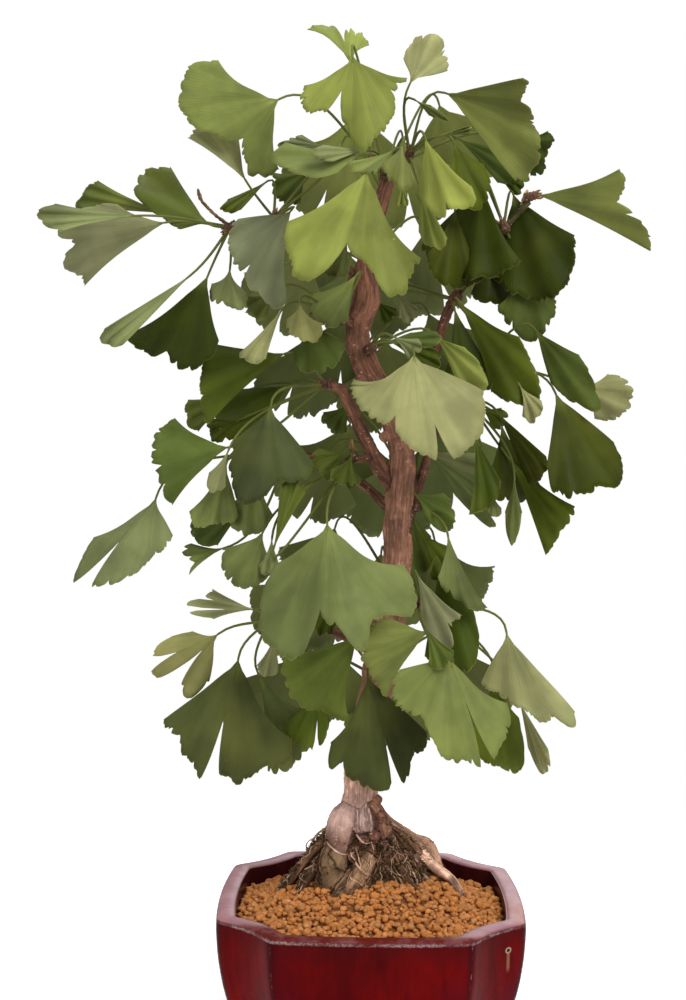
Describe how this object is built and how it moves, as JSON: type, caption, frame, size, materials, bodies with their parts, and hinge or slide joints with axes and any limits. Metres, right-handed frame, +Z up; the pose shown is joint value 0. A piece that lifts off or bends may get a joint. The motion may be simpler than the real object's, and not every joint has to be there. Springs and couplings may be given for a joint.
{
  "type": "ginkgo bonsai",
  "caption": "Young ginkgo bonsai with fan-shaped leaves on spurs, a spread of surface roots, grain soil and a glazed square pot with cut corners.",
  "frame": {"origin": "centre of the underside of the pot's foot", "axes": "+Z up, -Y the front of the tree, +X to the right seen from the front"},
  "size_m": [0.2763, 0.1493, 0.455],
  "materials": {
    "glaze": "glossy oxblood glaze, mauve and thinner over the rim",
    "net": "matt",
    "grain_soil": "dry baked clay grains",
    "bark": "furrowed grey-brown bark, with moss and pale fine roots at the foot",
    "leaf": "soft satin leaf, finely ribbed"
  },
  "bodies": {
    "root": {"pot": "glaze", "drain_net_left": "net", "drain_net_right": "net", "soil": "grain_soil", "wood": "bark", "leaves_crown_front": "leaf", "leaves_crown_left": "leaf", "leaves_crown_right": "leaf", "leaves_crown_back": "leaf", "leaves_upper_left": "leaf", "leaves_tip_left": "leaf", "leaves_arm_left": "leaf", "leaves_front_mid": "leaf", "leaves_tip_right": "leaf", "leaves_upper_right": "leaf", "leaves_arm_right": "leaf", "leaves_shoulder_right": "leaf", "leaves_inner_right": "leaf", "leaves_branch_left": "leaf", "leaves_outer_left": "leaf", "leaves_front_left": "leaf", "leaves_low_left": "leaf", "leaves_low_front": "leaf", "leaves_low_right": "leaf", "leaves_mid_right": "leaf", "leaves_back_crown": "leaf", "leaves_back_upper": "leaf", "leaves_back_shoulder": "leaf", "leaves_back_middle": "leaf", "leaves_back_lower": "leaf", "leaves_back_low": "leaf"}
  },
  "joints": []
}
